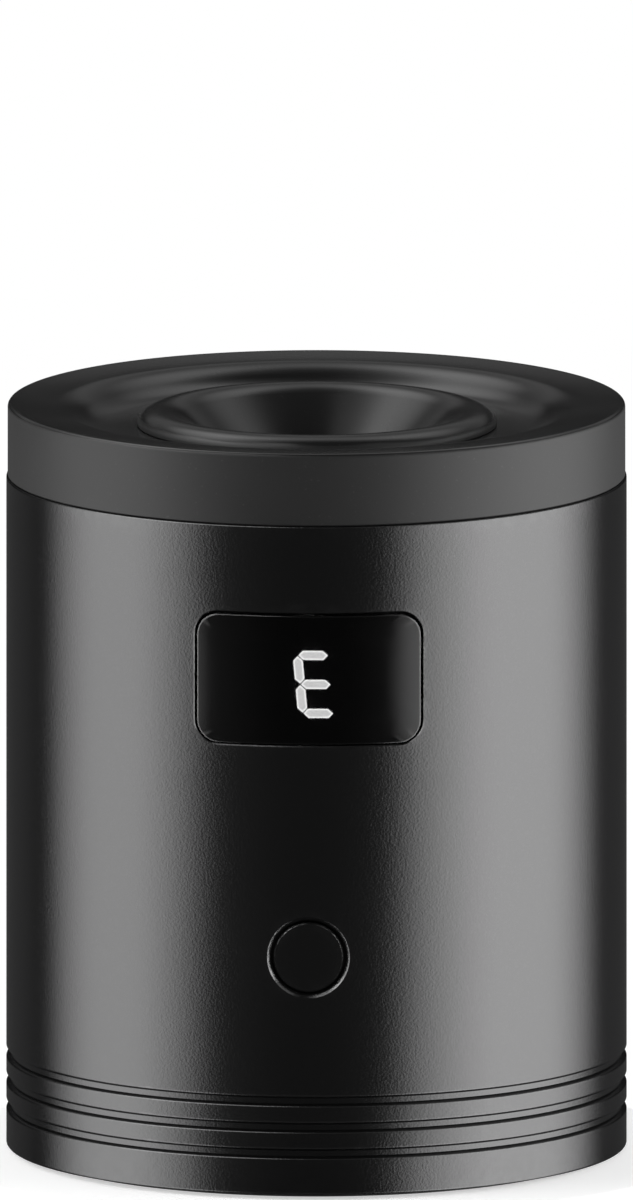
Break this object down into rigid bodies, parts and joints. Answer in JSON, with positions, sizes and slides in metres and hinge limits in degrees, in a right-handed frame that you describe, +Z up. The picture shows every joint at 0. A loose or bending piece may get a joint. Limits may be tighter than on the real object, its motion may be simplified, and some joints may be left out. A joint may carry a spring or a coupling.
{
  "type": "nail polish shaker machine",
  "caption": "Round table-top bottle shaker: turned dark can with a soft top, an orbiting conical cup, a digit display, a push button and a charging socket.",
  "frame": {"origin": "middle of the foot ring, on the table", "axes": "+Z up along the can; -Y is the front with the display and the button, +Y the back with the charging socket, +X to the right seen from the front"},
  "size_m": [0.07, 0.07, 0.0854],
  "materials": {
    "anodised_can": "fine blasted and dark anodised",
    "anodised_button": "fine blasted and dark anodised",
    "smoked_lens": "polished black smoked acrylic",
    "soft_top": "matt dark silicone",
    "foot_rubber": "matt black rubber",
    "base_plastic": "spark-eroded black plastic",
    "nylon": "natural nylon",
    "dome_rubber": "grey silicone",
    "bearing_steel": "ground bearing steel",
    "zinc_steel": "zinc-plated steel",
    "screw_steel": "blackened screw steel",
    "weight_brass": "turned brass",
    "terminal_brass": "stamped brass and bronze",
    "bell_plastic": "white moulded plastic",
    "ferrite": "sintered ferrite",
    "core_steel": "stacked laminations",
    "coil_copper": "enamelled copper wire",
    "bar_copper": "bare copper",
    "cell_wrap": "plain shrink sleeve on a metal cell",
    "nickel": "nickel strip",
    "board_green": "solder-masked laminate",
    "chip_epoxy": "moulded epoxy",
    "segment_lit": "lit white light guide",
    "segment_dark": "unlit light guide",
    "switch_body": "moulded switch housing",
    "plunger_plastic": "moulded plunger",
    "socket_steel": "stainless shell",
    "lead_red": "red wire insulation",
    "lead_black": "black wire insulation"
  },
  "bodies": {
    "housing": {"base_plate": "base_plastic", "base_screws": "screw_steel", "battery_cell": "cell_wrap", "battery_tabs": "nickel", "board_parts": "chip_epoxy", "button_dome": "dome_rubber", "charge_board": "board_green", "charge_screws": "screw_steel", "cover_screws": "screw_steel", "deck_screws": "screw_steel", "digit_module": "base_plastic", "display_lens": "smoked_lens", "foot_ring": "foot_rubber", "frame_screws": "screw_steel", "front_frame": "base_plastic", "lit_segments": "segment_lit", "lower_chassis": "base_plastic", "main_board": "board_green", "motor_brushes": "terminal_brass", "motor_bushings": "terminal_brass", "motor_can": "zinc_steel", "motor_damper": "foot_rubber", "motor_end_bell": "bell_plastic", "motor_magnets": "ferrite", "motor_screws": "screw_steel", "motor_terminals": "terminal_brass", "negative_leads": "lead_black", "outer_sleeve": "anodised_can", "positive_leads": "lead_red", "power_switch": "switch_body", "socket_shell": "socket_steel", "socket_tongue": "switch_body", "splash_seal": "soft_top", "top_cover": "soft_top", "unlit_segments": "segment_dark", "upper_deck": "base_plastic"},
    "rotor": {"motor_shaft": "zinc_steel", "armature_core": "core_steel", "armature_windings": "coil_copper", "commutator": "bar_copper", "commutator_tube": "nylon", "crank_hub": "zinc_steel", "counterweight": "weight_brass", "hub_set_screw": "screw_steel", "bearing_inner_race": "bearing_steel", "bearing_washer": "zinc_steel", "bearing_screw": "screw_steel"},
    "ball_set": {"bearing_balls": "bearing_steel", "ball_cage": "nylon"},
    "cup": {"bottle_cup": "soft_top", "cup_carrier": "nylon", "bearing_outer_race": "bearing_steel", "bearing_shields": "zinc_steel"},
    "button": {"button_cap": "anodised_button", "switch_plunger": "plunger_plastic"}
  },
  "joints": [
    {"name": "rotor_spin", "type": "hinge", "parent": "housing", "child": "rotor", "pos_m": [0, 0, 0.04], "axis": [0, 0, 1], "continuous": true, "deforming": ["splash_seal"]},
    {"name": "cup_orbit", "type": "hinge", "parent": "rotor", "child": "cup", "pos_m": [0, 0.0015, 0.0669], "axis": [0, 0, 1], "continuous": true, "deforming": ["splash_seal"]},
    {"name": "cage_roll", "type": "hinge", "parent": "rotor", "child": "ball_set", "pos_m": [0, 0.0015, 0.0669], "axis": [0, 0, 1], "continuous": true, "deforming": ["splash_seal"]},
    {"name": "button_press", "type": "slide", "parent": "housing", "child": "button", "axis": [0, 1, 0], "range_m": [0, 0.0005], "stiffness_N_per_m": 1000, "springref_m": -0.0003, "deforming": ["button_dome"]}
  ],
  "couplings": [
    {"joint": "cup_orbit", "follows": "rotor_spin", "ratio": -1},
    {"joint": "cage_roll", "follows": "rotor_spin", "ratio": -0.6333}
  ]
}
